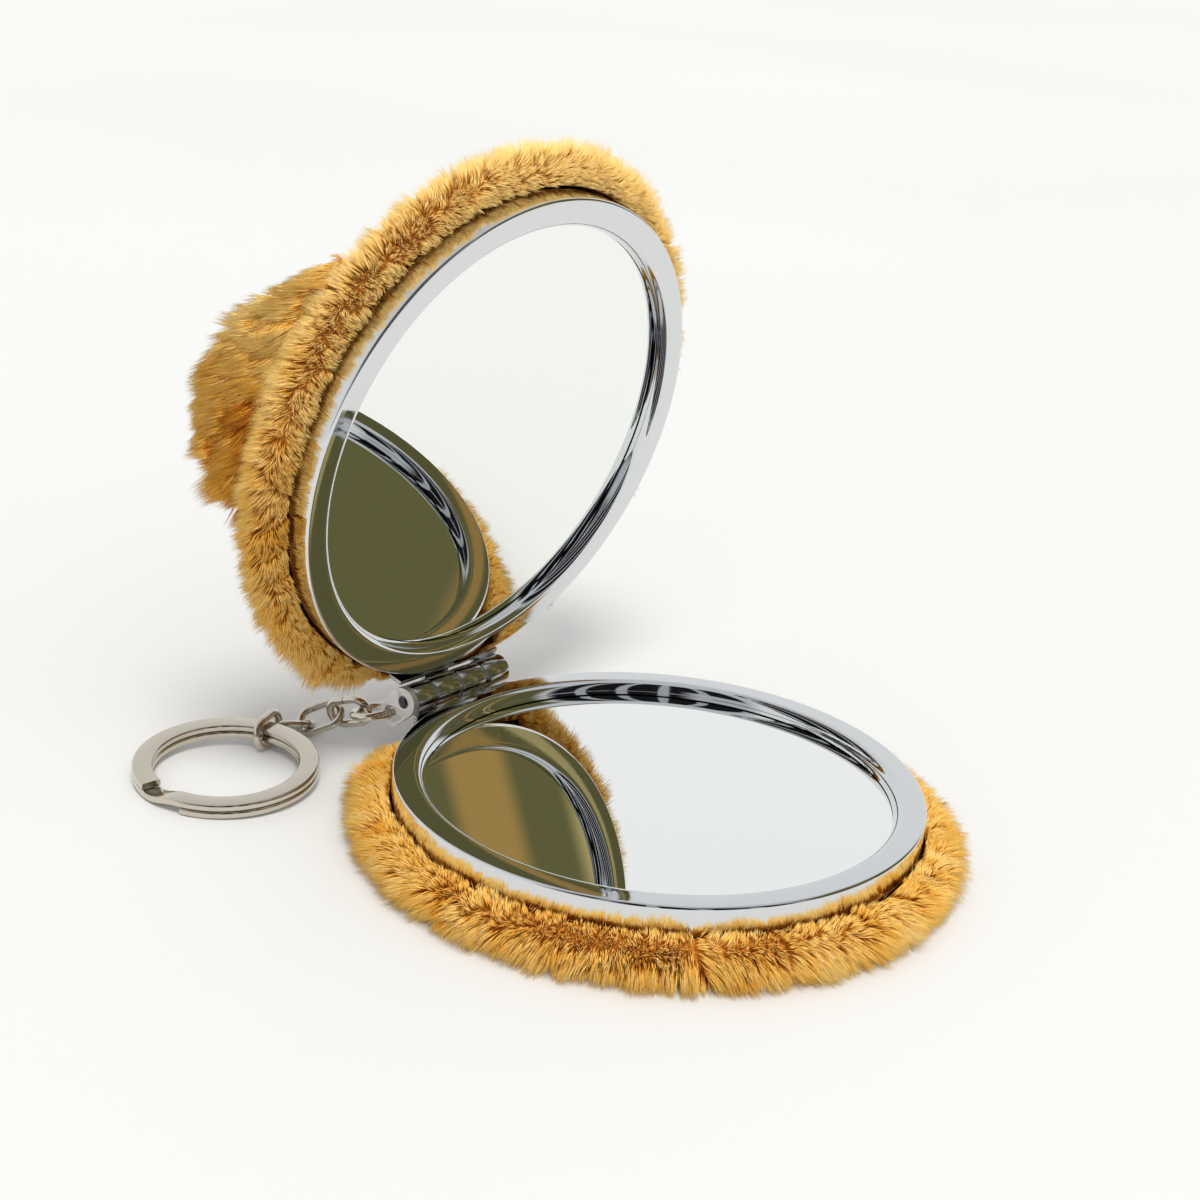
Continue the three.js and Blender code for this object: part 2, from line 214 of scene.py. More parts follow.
BACKDROP = (0.9, 0.9, 0.9, 1)  # what the camera sees past the floor


def make_world():
    """Pale to the camera, an even dome to matt surfaces, and a studio to shiny ones."""
    world = bpy.data.worlds.new("studio")
    bpy.context.scene.world = world
    world.use_nodes = True
    n = Nodes(world.node_tree)
    way = n.add("ShaderNodeTexCoord").outputs["Generated"]
    xyz = n.add("ShaderNodeSeparateXYZ", in_Vector=way).outputs
    degrees = n.math("MULTIPLY", n.math("ARCTAN2", xyz[1], xyz[0]), 180 / math.pi)
    height = n.math("MULTIPLY", n.math("ARCSINE", xyz[2]), 180 / math.pi)

    def sector(middle, inner, outer):
        off = n.math("ABSOLUTE", n.math("WRAP", n.math("ADD", degrees, -middle), 180, -180))
        return n.spread(off, inner, outer, 1, 0)

    curtain = OLIVE
    for place, colour in FOLDS:
        curtain = n.mix(sector(*place), curtain, colour)
    at_curtain = n.math("MULTIPLY", sector(*CURTAIN["sector"]), n.spread(height, *CURTAIN["top"], 1, 0))
    bars = n.math("SINE", n.math("MULTIPLY", degrees, BARS["turn"]))
    room = n.mix(n.spread(bars, *BARS["fade"], 0, 1), ROOM["dark"], ROOM["pale"])
    off = n.math("ABSOLUTE", n.math("ADD", height, -WINDOW["height"]))
    at_window = n.math("MULTIPLY", sector(*WINDOW["sector"]), n.spread(off, *WINDOW["fade"], 1, 0))
    room = n.mix(at_window, room, WINDOW["colour"])
    at_room = n.math("MULTIPLY", sector(*ROOM["sector"]), n.spread(height, *ROOM["top"], 1, 0))
    studio = n.mix(n.spread(height, *SKY["height"], 0, 1), SKY["low"], SKY["high"])
    studio = n.mix(at_room, studio, room)
    studio = n.mix(at_curtain, studio, curtain)
    path = n.add("ShaderNodeLightPath").outputs
    colour = n.mix(path["Is Glossy Ray"], DOME, studio)
    colour = n.mix(path["Is Camera Ray"], colour, BACKDROP)
    light = n.add("ShaderNodeBackground", in_Color=colour, in_Strength=1.0)
    out = n.add("ShaderNodeOutputWorld")
    n.set(out, "Surface", light.outputs[0])


def principled(name, **values):
    """A new material: its node builder, its shader and itself."""
    material = bpy.data.materials.new(name)
    material.use_nodes = True
    n = Nodes(material.node_tree)
    shader = n.add("ShaderNodeBsdfPrincipled")
    for key, value in values.items():
        n.set(shader, key.replace("_", " "), value)
    out = n.add("ShaderNodeOutputMaterial")
    n.set(out, "Surface", shader.outputs[0])
    return n, shader, material


def bumped(n, shader, height, strength, distance):
    bump = n.add("ShaderNodeBump", in_Height=height, in_Strength=strength, in_Distance=distance)
    n.set(shader, "Normal", bump.outputs[0])


def metal(name, colour, rough, wave_scale, wave, stretch=(1, 1, 1)):
    """Plated or bare metal: faint waves in the sheet, and a slightly uneven polish."""
    n, shader, material = principled(name, Base_Color=colour, Metallic=1.0)
    polish = n.noise(900, 3, stretch)
    n.set(shader, "Roughness", n.spread(polish, 0.3, 0.75, rough * 0.6, rough * 1.5))
    bumped(n, shader, n.noise(wave_scale, 2, stretch), wave, 0.1 * MM)
    return material


def glass_mirror():
    n, shader, material = principled("mirror_glass", Base_Color=srgb(248, 250, 248), Metallic=1.0)
    smears = n.noise(120, 4, (1, 3, 1))
    n.set(shader, "Roughness", n.spread(smears, 0.45, 0.8, 0.0, 0.03))
    return material


def woven_backing():
    """The plush's knitted backing, dark between the roots of the pile."""
    n, shader, material = principled("plush_backing", Roughness=0.95, Sheen_Weight=0.2)
    tufts = n.noise(700, 3)
    colour = n.ramp(tufts, [(0.3, srgb(150, 90, 26)), (0.7, srgb(200, 132, 46))])
    n.set(shader, "Base Color", colour)
    bumped(n, shader, tufts, 0.6, 0.4 * MM)
    return material


def speckled(name, low, high, scale, rough, bump, metallic=0.0):
    n, shader, material = principled(name, Roughness=rough, Metallic=metallic)
    grain = n.noise(scale, 4)
    n.set(shader, "Base Color", n.ramp(grain, [(0.35, low), (0.65, high)]))
    bumped(n, shader, grain, bump, 0.1 * MM)
    return material


# Pile colours, from the darkest roots to the lightest tips.
TINTS = [
    srgb(176, 90, 12),
    srgb(208, 128, 28),
    srgb(236, 168, 60),
    srgb(246, 194, 90),
    srgb(251, 208, 116),
    srgb(254, 219, 139),
]


def pile_material(number, tint):
    look = {"Base_Color": tint, "Sheen_Tint": tint, "Sheen_Weight": 0.15}
    return principled(f"pile_{number}", Roughness=0.7, Specular_IOR_Level=0.15, **look)[2]


# ---------- mesh helpers ----------
def points_of(node):
    mesh = frame["nodes"][node].data
    flat = np.empty(len(mesh.vertices) * 3)
    mesh.vertices.foreach_get("co", flat)
    return flat.reshape(-1, 3)


def add_piece(name, points, faces, materials, body, replaced=(), sharp=35):
    mesh = bpy.data.meshes.new(name)
    mesh.from_pydata(points, [], faces)
    mesh.update()
    mesh.shade_smooth()
    if sharp:
        mesh.set_sharp_from_angle(angle=math.radians(sharp))
    for material in materials:
        mesh.materials.append(material)
    piece = bpy.data.objects.new(name, mesh)
    bpy.context.scene.collection.objects.link(piece)
    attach(piece, body)
    if replaced:
        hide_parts(*replaced)
    return piece


def placed(points, matrix):
    m = np.array(matrix)
    return np.asarray(points) @ m[:3, :3].T + m[:3, 3]


def join(parts):
    """One set of points and faces from several."""
    points, faces = [], []
    for some, their_faces in parts:
        start = len(points)
        points.extend(map(tuple, some))
        faces.extend(tuple(start + i for i in f) for f in their_faces)
    return points, faces


def lathe(profile, steps, closed=True):
    """Turns [radius, height] points about Z: a closed loop, or an open line with its ends on the axis."""
    profile = np.array(profile, float)
    angles = np.linspace(0, 2 * math.pi, steps, endpoint=False)
    on_axis = profile[:, 0] < 1e-9
    points, rings = [], []
    for (r, z), single in zip(profile, on_axis):
        start = len(points)
        if single:
            points.append((0, 0, z))
            rings.append([start] * steps)
        else:
            points.extend((r * math.cos(a), r * math.sin(a), z) for a in angles)
            rings.append(list(range(start, start + steps)))
    faces = []
    pairs = list(zip(rings, rings[1:])) + ([(rings[-1], rings[0])] if closed else [])
    for low, high in pairs:
        for i in range(steps):
            j = (i + 1) % steps
            corners = [low[i], low[j], high[j], high[i]]
            corners = [c for k, c in enumerate(corners) if c not in corners[:k]]
            if len(corners) > 2:
                faces.append(tuple(corners))
    return np.array(points), faces


def arc(r, z, radius, start, end, steps):
    """Points on an arc about (r, z), ends included."""
    angles = np.radians(np.linspace(start, end, steps + 1))
    return [(r + radius * math.cos(a), z + radius * math.sin(a)) for a in angles]


def sweep(path, section, frames):
    """A section of (across, up) points carried along a path, with flat ends."""
    path = np.asarray(path, float)
    count, sides = len(path), len(section)
    points = []
    for place, (across, up) in zip(path, frames):
        points.extend(place + a * across + b * up for a, b in section)
    faces = []
    for i in range(count - 1):
        for k in range(sides):
            m = (k + 1) % sides
            faces.append((i * sides + k, i * sides + m, (i + 1) * sides + m, (i + 1) * sides + k))
    faces.append(tuple(range(sides))[::-1])
    faces.append(tuple((count - 1) * sides + k for k in range(sides)))
    return np.array(points), faces


def radius(points):
    return np.hypot(points[:, 0], points[:, 1])


def smooth_between(x, low, high):
    t = np.clip((x - low) / (high - low), 0, 1)
    return t * t * (3 - 2 * t)


# ---------- the two halves ----------
BODIES = frame["record"]["behaviour"]["bodies"]
hinge = next(j for j in frame["joints"] if j["name"] == "lid_hinge")
hinge_at = np.array(hinge["pos_m"], float)


def half_frame(prefix):
    """Origin in the middle of a rim plane, +Z to the padded back, +Y to the hinge."""
    glass = points_of(f"{prefix}_mirror")
    centre = glass.mean(0)
    normal = np.linalg.svd(glass - centre)[2][2]
    if np.dot(points_of(f"{prefix}_foam_pad").mean(0) - centre, normal) < 0:
        normal = -normal
    depth = ((points_of(f"{prefix}_rim") - centre) @ normal).min()
    to_hinge = hinge_at - centre
    to_hinge[0] = 0
    y = to_hinge - normal * (to_hinge @ normal)
    y /= np.linalg.norm(y)
    x = np.cross(y, normal)
    m = Matrix.Identity(4)
    for column, axis in enumerate((x, y, normal, centre + normal * depth)):
        for row in range(3):
            m[row][column] = axis[row]
    return m


rim_low, rim_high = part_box("base_rim")
RIM_R = (rim_high.x - rim_low.x) / 2


def make_rim(body):
    """A chrome sheet ring: side wall, flat flange and the curved lip down to the mirror."""
    across = FLANGE_R - LIP_R
    lip = [
        (FLANGE_R - across * math.sin(a), LIP_DEPTH * (1 - math.cos(a)))
        for a in np.linspace(0, math.pi / 2, 15)
    ]
    under = [(r + SHEET, min(z + SHEET, LIP_DEPTH)) for r, z in lip[:-3]]
    under.append((LIP_R + SHEET, LIP_DEPTH))
    profile = [
        *arc(RIM_R - RIM_EDGE, RIM_EDGE, RIM_EDGE, -90, 0, 8),
        (RIM_R, RIM_WALL - WALL_EDGE),
        (RIM_R - WALL_EDGE, RIM_WALL),
        (RIM_R - SHEET, RIM_WALL),
        (RIM_R - SHEET, SHEET),
        *under,
        *lip[::-1],
        (FLANGE_R + LIP_STEP, 0),
    ]
    points, faces = lathe(profile, 256)
    add_piece(
        f"{body}_chrome_rim", placed(points, FRAMES[body]), faces, [CHROME], body,
        [f"{body}_rim"],
    )


# The back of each cover, under its pile, from the middle out to the edge of the rim.
BASE_SKIN = [
    (0, 8.45), (20, 8.45), (33, 8.4), (36.2, 8.0), (37.6, 7.2), (38.0, 6.2), (37.6, 5.1), (36.7, 4.3),
    (35.3, 3.9),
]
LID_SKIN = [
    (0, 10.75), (14, 10.55), (26, 9.75), (33, 8.5), (36.4, 7.5), (37.8, 6.5), (38.1, 5.6), (37.6, 4.7),
    (36.7, 4.1), (35.3, 3.8),
]
ROOM_HALF = 10.4 * MM  # half the width of the gap for the hinge leaves
ROOM_FADE = 2.5 * MM  # how far past that the gap closes
ROOM_OUT = 36.7 * MM  # the covers are flat here, in front of the barrel
ROOM_IN = 36.1 * MM
ROOM_EDGE = (30 * MM, 7.5 * MM)  # the front edge: outside this distance, and below this height
ROOM_BACK = 4 * MM  # how much nearer the middle that edge may come past the gap
FLAT_ENDS = (14.5 * MM, 18 * MM)  # the flat stretch beside the barrel fades out between these
FLAT_EASE = 5 * MM  # how much further out the cover may reach past it
FLAT_LINING = 0.3 * MM  # how much nearer the middle the cover's inner surface stays


def resampled(profile, step=0.9):
    """The same outline as a smooth curve with points about a step apart, in metres."""
    p = np.array(profile, float)
    along = np.concatenate([[0], np.cumsum(np.hypot(*np.diff(p, axis=0).T))])
    count = int(along[-1] / step)
    at = np.linspace(0, along[-1], count)
    dense = np.column_stack([np.interp(at, along, p[:, 0]), np.interp(at, along, p[:, 1])])
    for _ in range(2):
        dense[1:-1] = (dense[:-2] + 2 * dense[1:-1] + dense[2:]) / 4
    return dense * MM


def room_for_hinge(points, limit):
    """Flattens the cover beside the barrel, and keeps its front edge behind the leaves."""
    points = np.array(points)
    x = np.abs(points[:, 0])
    out = limit + FLAT_EASE * smooth_between(x, *FLAT_ENDS)
    points[:, 1] = np.minimum(points[:, 1], out)
    back = ROOM_IN - ROOM_BACK * smooth_between(x, ROOM_HALF, ROOM_HALF + ROOM_FADE)
    edge = (points[:, 1] > ROOM_EDGE[0]) & (points[:, 2] < ROOM_EDGE[1])
    points[:, 1] = np.where(edge, np.maximum(points[:, 1], back), points[:, 1])
    return points


def lumpy(points, matrix, amount, scale):
    """Moves points along the outward direction from the middle by a smooth noise."""
    world = placed(points, matrix)
    out = [noise.noise(Vector(p) * scale) for p in world]
    direction = points / np.maximum(np.linalg.norm(points, axis=1, keepdims=True), 1e-9)
    return points + direction * np.array(out)[:, None] * amount


def make_cover(body, skin):
    """The knitted backing, as thick as the cloth. Returns its outer surface, for the pile."""
    steps = 180
    outer = resampled(skin)
    inward = np.gradient(outer, axis=0)
    inward = np.column_stack([inward[:, 1], -inward[:, 0]])
    inward /= np.linalg.norm(inward, axis=1, keepdims=True)
    inner = outer + inward * CLOTH
    inner[:, 0] = np.maximum(inner[:, 0], 0)
    inner[0] = (0, outer[0][1] - CLOTH)
    inner[-1] = outer[-1] + np.array((0, CLOTH))
    count = 1 + (len(outer) - 1) * steps
    points, faces = lathe([*outer, *inner[::-1]], steps, closed=False)
    outside = room_for_hinge(points[:count], ROOM_OUT)
    inside = room_for_hinge(points[count:], ROOM_OUT - FLAT_LINING)
    whole = np.vstack([lumpy(outside, FRAMES[body], amount=0.15 * MM, scale=300), inside])
    cover = add_piece(
        f"{body}_plush_backing", placed(whole, FRAMES[body]), faces, [BACKING], body,
        [f"{body}_plush_cover"], sharp=60,
    )
    surface_faces = [f for f in faces if max(f) < count]
    return whole[:count], surface_faces


def skin_height(r):
    """Height of the lid's backing over its rim plane at a radius."""
    profile = np.array(LID_SKIN[:7]) * MM
    return np.interp(r, profile[:, 0], profile[:, 1])


def ear_matrix(side):
    """From the ear's own frame, where X is its thickness and Z its height, to the lid half's frame."""
    sign = -1 if side == "left" else 1
    turn = Matrix.Rotation(math.radians(-sign * EAR["angle"]), 4, "Z")
    place = Matrix.Translation((sign * EAR["at"], 0, EAR["foot"]))
    lean = Matrix.Rotation(math.radians(sign * EAR["lean"]), 4, "Y")
    return turn @ place @ lean


def ear_body(side, shrink, foot):
    """An egg with one sloping shoulder, whose flat foot stands this far above the lid's backing."""
    rings, steps = 28, 48
    angles = np.linspace(-math.pi / 2, math.pi / 2, rings)
    outline = [(math.cos(a), math.sin(a)) for a in angles]
    outline[0], outline[-1] = (0, -1), (0, 1)
    points, faces = lathe(outline, steps, closed=False)
    along = points[:, 1]
    share = np.clip(-along, 0, 0.99)
    shoulder = np.maximum(0.2, (1 - share ** EAR_SHAPE["slope"]) / np.sqrt(1 - share**2))
    reach = np.where(along < 0, EAR_SHAPE["away"], EAR_SHAPE["towards"]) - shrink
    points[:, 0] *= EAR_SHAPE["thick"] - shrink
    points[:, 1] = EAR_SHAPE["tip"] + along * reach
    points[:, 2] *= (EAR_SHAPE["tall"] - shrink) * shoulder
    points = placed(points, ear_matrix(side))
    floor = skin_height(radius(points)) + foot
    sunk = points[:, 2] < floor
    points[:, 2] = np.maximum(points[:, 2], floor)
    return points, faces, sunk


def make_ear(side):
    """The ear's knitted backing and its stuffing. Returns the backing over the lid, for the pile."""
    points, faces, sunk = ear_body(side, shrink=0, foot=-EAR["sink"])
    points = lumpy(points, FRAMES["lid"], amount=0.3 * MM, scale=180)
    ear = add_piece(
        f"ear_{side}_backing", placed(points, FRAMES["lid"]), faces, [BACKING], "lid",
        [f"ear_{side}"], sharp=0,
    )
    filling, filling_faces, _ = ear_body(side, *STUFFING)
    add_piece(
        f"ear_{side}_fibre", placed(filling, FRAMES["lid"]), filling_faces, [FIBRE], "lid",
        [f"ear_{side}_stuffing"], sharp=0,
    )
    kept = [f for f in faces if not any(sunk[i] for i in f)]
    return points, kept


# ---------- pile ----------
STRAND = {"width": 0.1 * MM, "root": 0.3 * MM, "taper": 0.8}
BEND_AT = 0.5  # share of the length where a strand bends
LEAN = 0.3  # how much more of the comb's pull a strand's tip takes
# How far the pile strays from its comb: a slow swirl, then each tuft's, lock's and strand's own tilt.
STRAY = {"swirl": 0.5, "tuft": 0.16, "lock": 0.12, "strand": 0.13}
UNEVEN = {"tuft": (0.88, 1.08), "strand": (0.7, 1.06)}  # lengths as shares of the one asked for
# A strand's middle shade, then how far patches, tufts, locks and single strands differ from it.
SHADE = {"middle": 1.6, "patch": 1.1, "tuft": 0.6, "lock": 0.6, "strand": 0.5}
TIP_LIGHTER = 2  # shades from root to tip
DENSITY = 36 * 1  # strands to a square millimetre
TUFT, LOCK = 110, 12  # strands in a broad tuft and in a narrow lock
PIECE_STRANDS = 19000


def unit(v):
    return v / np.maximum(np.linalg.norm(v, axis=1, keepdims=True), 1e-12)


def scatter(points, faces):
    """Evenly random places on a surface, with its smooth normals there."""
    tris = []
    for f in faces:
        tris.append(f[:3])
        if len(f) == 4:
            tris.append((f[0], f[2], f[3]))
    tris = np.array(tris)
    corners = [points[tris[:, i]] for i in range(3)]
    cross = np.cross(corners[1] - corners[0], corners[2] - corners[0])
    area = np.linalg.norm(cross, axis=1) / 2
    normals = np.zeros_like(points)
    for i in range(3):
        np.add.at(normals, tris[:, i], cross)
    normals = unit(normals)
    centre = points.mean(0)
    if ((points - centre) * normals).sum() < 0:
        normals = -normals
    count = int(area.sum() / MM**2 * DENSITY)
    chosen = rng.choice(len(tris), count, p=area / area.sum())
    u, v = rng.random((2, count, 1))
    flip = u + v > 1
    u, v = np.where(flip, 1 - u, u), np.where(flip, 1 - v, v)
    weights = (1 - u - v, u, v)
    where = sum(corner[chosen] * weight for corner, weight in zip(corners, weights))
    facing = sum(normals[tris[chosen, i]] * weight for i, weight in enumerate(weights))
    return where, unit(facing)


def field(points, scale, seed):
    """Smooth noise from -1 to 1 at each point."""
    shift = Vector((seed * 17.3, seed * 5.1, seed * 9.7))
    return np.array([noise.noise(Vector(p) * scale + shift) for p in points])


def gathered(roots, every):
    """Which group of neighbours each strand belongs to, and the strand in each group's middle."""
    middle = max(1, int(len(roots) / every))
    chosen = rng.choice(len(roots), middle, replace=False)
    tree = kdtree.KDTree(middle)
    for i, k in enumerate(chosen):
        tree.insert(roots[k], i)
    tree.balance()
    own = np.array([tree.find(p)[1] for p in roots])
    return own, chosen


def groomed(roots, facing, comb, length, pull):
    """Bent centre lines of three points each, gathered loosely into locks, and those into tufts."""
    count = len(roots)
    tuft, tuft_heart = gathered(roots, TUFT)
    lock, lock_heart = gathered(roots, LOCK)
    tilt = rng.normal(0, STRAY["tuft"], (len(tuft_heart), 3))[tuft]
    tilt = tilt + rng.normal(0, STRAY["lock"], (len(lock_heart), 3))[lock]
    longer = rng.uniform(*UNEVEN["tuft"], len(tuft_heart))[tuft]
    swirl = np.column_stack([field(roots, scale=150, seed=seed) for seed in (3, 4, 5)]) * STRAY["swirl"]
    way = unit(facing + comb + swirl + tilt + rng.normal(0, STRAY["strand"], (count, 3)))
    size = (length * longer * rng.uniform(*UNEVEN["strand"], count))[:, None]
    lean = comb * LEAN
    lines = [roots - facing * STRAND["root"]]
    for t in (BEND_AT, 1.0):
        free = roots + way * size * t + lean * size * t * t
        for heart in (lock_heart[lock], tuft_heart[tuft]):
            mate = roots[heart] + way[heart] * size * t + lean[heart] * size * t * t
            free = free + (mate - free) * pull * t**1.5
        lines.append(free)
    return np.stack(lines, axis=1), tuft, lock


def strands_mesh(lines):
    """Tapered three-sided strands round the lines: points, triangles, and 0 or 1 for root or tip ones."""
    count = len(lines)
    along = unit(lines[:, -1] - lines[:, 0])
    helper = np.where(np.abs(along[:, 2:3]) < 0.8, [[0.0, 0.0, 1.0]], [[1.0, 0.0, 0.0]])
    side = unit(np.cross(along, helper))
    up = np.cross(side, along)
    spin = rng.uniform(0, 2 * math.pi, count)
    points = np.empty((count, 7, 3))
    for ring, taper in enumerate((1.0, STRAND["taper"])):
        for k in range(3):
            a = (spin + 2 * math.pi * k / 3)[:, None]
            offset = side * np.cos(a) + up * np.sin(a)
            points[:, ring * 3 + k] = lines[:, ring] + offset * taper * STRAND["width"] / 2
    points[:, 6] = lines[:, 2]
    tris, stretch = [(2, 1, 0)], [0]
    for a, b in ((0, 1), (1, 2), (2, 0)):
        tris += [(a, b, b + 3), (a, b + 3, a + 3), (a + 3, b + 3, 6)]
        stretch += [0, 0, 1]
    faces = (np.arange(count)[:, None, None] * 7 + np.array(tris)).reshape(-1, 3)
    return points.reshape(-1, 3), faces, np.array(stretch)


def make_pile(name, lines, shade, matrix, body):
    """Pieces of pile, with darker roots and lighter tips, each strand in its own shade."""
    lines = placed(lines.reshape(-1, 3), matrix).reshape(-1, 3, 3)
    lines[:, :, 2] = np.maximum(lines[:, :, 2], FLOOR_CLEAR + STRAND["width"] / 2)
    whole = math.ceil(len(lines) / PIECE_STRANDS)
    order = np.argsort(lines[:, 0, 0], kind="stable")
    for number, some in enumerate(np.array_split(order, whole)):
        points, faces, stretch = strands_mesh(lines[some])
        points[:, 2] = np.maximum(points[:, 2], FLOOR_CLEAR)
        tint = (shade[some][:, None] + TIP_LIGHTER * stretch).reshape(-1)
        tint = np.clip(tint, 0, len(TINTS) - 1).astype(int)
        mesh = bpy.data.meshes.new(f"{name}_{number + 1}")
        mesh.from_pydata(points, [], faces)
        mesh.shade_smooth()
        for material in PILE_MATERIALS:
            mesh.materials.append(material)
        mesh.polygons.foreach_set("material_index", tint)
        piece = bpy.data.objects.new(mesh.name, mesh)
        bpy.context.scene.collection.objects.link(piece)
        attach(piece, body)


def thinned(roots, facing, share):
    """Drops strands where little shows, keeping a share that may differ from root to root."""
    kept = rng.random(len(roots)) < share
    return roots[kept], facing[kept]


def shades(roots, tuft, lock, scale, seed, painted_light_offset):
    """Each strand's shade, -2 to 4: a given offset of painted light and shade, broad patches, then its tuft's, its
    lock's and its own.
    """
    value = SHADE["middle"] + painted_light_offset + field(roots, scale, seed) * SHADE["patch"]
    value = value + rng.uniform(-SHADE["tuft"], SHADE["tuft"], tuft.max() + 1)[tuft]
    value = value + rng.uniform(-SHADE["lock"], SHADE["lock"], lock.max() + 1)[lock]
    value = value + rng.uniform(-SHADE["strand"], SHADE["strand"], len(roots))
    return np.clip(np.round(value), -2, 4)


def between(ends, share):
    return ends[0] + (ends[1] - ends[0]) * share


# How the pile lies on each cover, first on its back and then at its border: the pull down, the pull
# away from the axis, and the length as a share of PILE. "kept" is the share of strands on the back,
# which hardly shows; the last is how many shades of painted light lift the side away from the hinge.
LIE = {
    "base": {"down": (0, 0.12), "away": (0.9, 0.9), "length": (0.45, 1), "kept": 0.15, "crown": 0},
    "lid": {"down": (0.9, 0.2), "away": (0.1, 0.4), "length": (0.85, 1), "kept": 0.6, "crown": 2.2},
}
SHOWN = (30 * MM, 34 * MM)  # the radii between which the pile thickens to its full density
BORDER = (31 * MM, 36 * MM)  # the radii between which the back's lie gives way to the border's
FRONT = (3.8 * MM, 5.6 * MM)  # the heights over the rim plane between which it grows to full length
FRONT_WAVE = 0.5 * MM
FRONT_SHARE = 0.45  # the length at the front edge
FRONT_PULL = {"forward": 0.4, "inward": 0.15}
HINGE_SIDE = (11.8 * MM, 14.8 * MM)  # short pile beside the hinge fades out between these
HINGE_DEPTH = (-9.5 * MM, -7 * MM)
HINGE_CUT = 0.62  # how much shorter it is there
# Distances away from the hinge between which the lid's painted light fades in
PAINTED_LIGHT_SPAN = (-4 * MM, 28 * MM)
PULL_TOGETHER = {"cover": 0.22, "ear": 0.42}  # how far locks and tufts draw in at their tips


def cover_pile(body, surface):
    """The pile on one cover: combed along the back, round the border, and short at the front edge."""
    lie = LIE[body]
    roots, facing = scatter(*surface)
    shown = smooth_between(radius(roots), *SHOWN)
    roots, facing = thinned(roots, facing, between((lie["kept"], 1), shown))
    flat = np.column_stack([roots[:, 0], roots[:, 1], np.zeros(len(roots))])
    radial = flat / radius(roots)[:, None]
    border = smooth_between(radius(roots), *BORDER)[:, None]
    down = np.array(FRAMES[body].to_3x3().inverted() @ Vector((0, 0, -1)))
    comb = radial * between(lie["away"], border) + down * between(lie["down"], border)
    front = smooth_between(roots[:, 2] + field(roots, scale=260, seed=7) * FRONT_WAVE, *FRONT)[:, None]
    forward = np.array((0, 0, -1)) * FRONT_PULL["forward"] - radial * FRONT_PULL["inward"]
    comb = between((forward, comb), front)
    at_hinge = 1 - smooth_between(np.abs(roots[:, 0]), *HINGE_SIDE)
    at_hinge = at_hinge * (roots[:, 1] > ROOM_EDGE[0]) * smooth_between(-roots[:, 2], *HINGE_DEPTH)
    length = PILE * between(lie["length"], border[:, 0]) * between((FRONT_SHARE, 1), front[:, 0])
    length = length * (1 - HINGE_CUT * at_hinge)
    lines, tuft, lock = groomed(roots, facing, comb, length, PULL_TOGETHER["cover"])
    # Painted light: lighter shades on the lid's side away from the hinge, standing in for light through the pile
    crown = lie["crown"] * smooth_between(-roots[:, 1], *PAINTED_LIGHT_SPAN)
    shade = shades(roots, tuft, lock, scale=220, seed=1, painted_light_offset=crown)
    make_pile(f"{body}_pile", lines, shade, FRAMES[body], body)


# The ear's pile: its pull to the tip and down, how much of each pull wanders over to the other, how far
# the comb lies down on the surface, how upright it stands, and its length as a share of PILE.
EAR_LIE = {
    "tip": 0.75, "down": 0.85, "wander": 0.35, "flat": 0.7, "upright": 0.6, "length": 1.35, "uneven": 0.25,
}
# Its shade: all over, then painted shade, darker by the lid, on the lower side, on both, and where it faces down.
EAR_PAINTED_SHADE = {"all": 0.6, "near": 0.5, "low": 1.3, "both": 1.0, "under": 0.7}
EAR_NEAR = (1 * MM, 10 * MM)  # the heights over the lid between which "near" fades out
EAR_LOW = (-17 * MM, -5 * MM)  # the places towards the hinge between which "low" fades in


def ear_pile(side, surface):
    """The ear's longer pile, combed to the tip and down, with painted shade by the lid and on the lower side."""
    roots, facing = scatter(*surface)
    tip_way = np.array(ear_matrix(side).to_3x3() @ Vector((0, 0, 1)))
    down = np.array(FRAMES["lid"].to_3x3().inverted() @ Vector((0, 0, -1)))
    wander = EAR_LIE["wander"] * field(roots, scale=120, seed=8)[:, None]
    comb = tip_way * (EAR_LIE["tip"] + wander) + down * (EAR_LIE["down"] - wander)
    comb = comb - facing * (comb * facing).sum(1, keepdims=True) * EAR_LIE["flat"]
    length = PILE * (EAR_LIE["length"] + EAR_LIE["uneven"] * field(roots, scale=140, seed=9))
    stand = facing * EAR_LIE["upright"]
    lines, tuft, lock = groomed(roots, stand, comb, length, PULL_TOGETHER["ear"])
    # Painted shade: darker near the lid, on the lower side towards the hinge, and where the ear faces down
    near = 1 - smooth_between(roots[:, 2] - skin_height(radius(roots)), *EAR_NEAR)
    low = smooth_between(roots[:, 1], *EAR_LOW)
    painted_shade_near = EAR_PAINTED_SHADE["near"] * near
    painted_shade_low = low * (EAR_PAINTED_SHADE["low"] + EAR_PAINTED_SHADE["both"] * near)
    painted_light_offset = EAR_PAINTED_SHADE["all"] - painted_shade_near - painted_shade_low - EAR_PAINTED_SHADE["under"] * (facing @ down)
    shade = shades(roots, tuft, lock, scale=180, seed=2, painted_light_offset=painted_light_offset)
    make_pile(f"ear_{side}_pile", lines, shade, FRAMES["lid"], "lid")


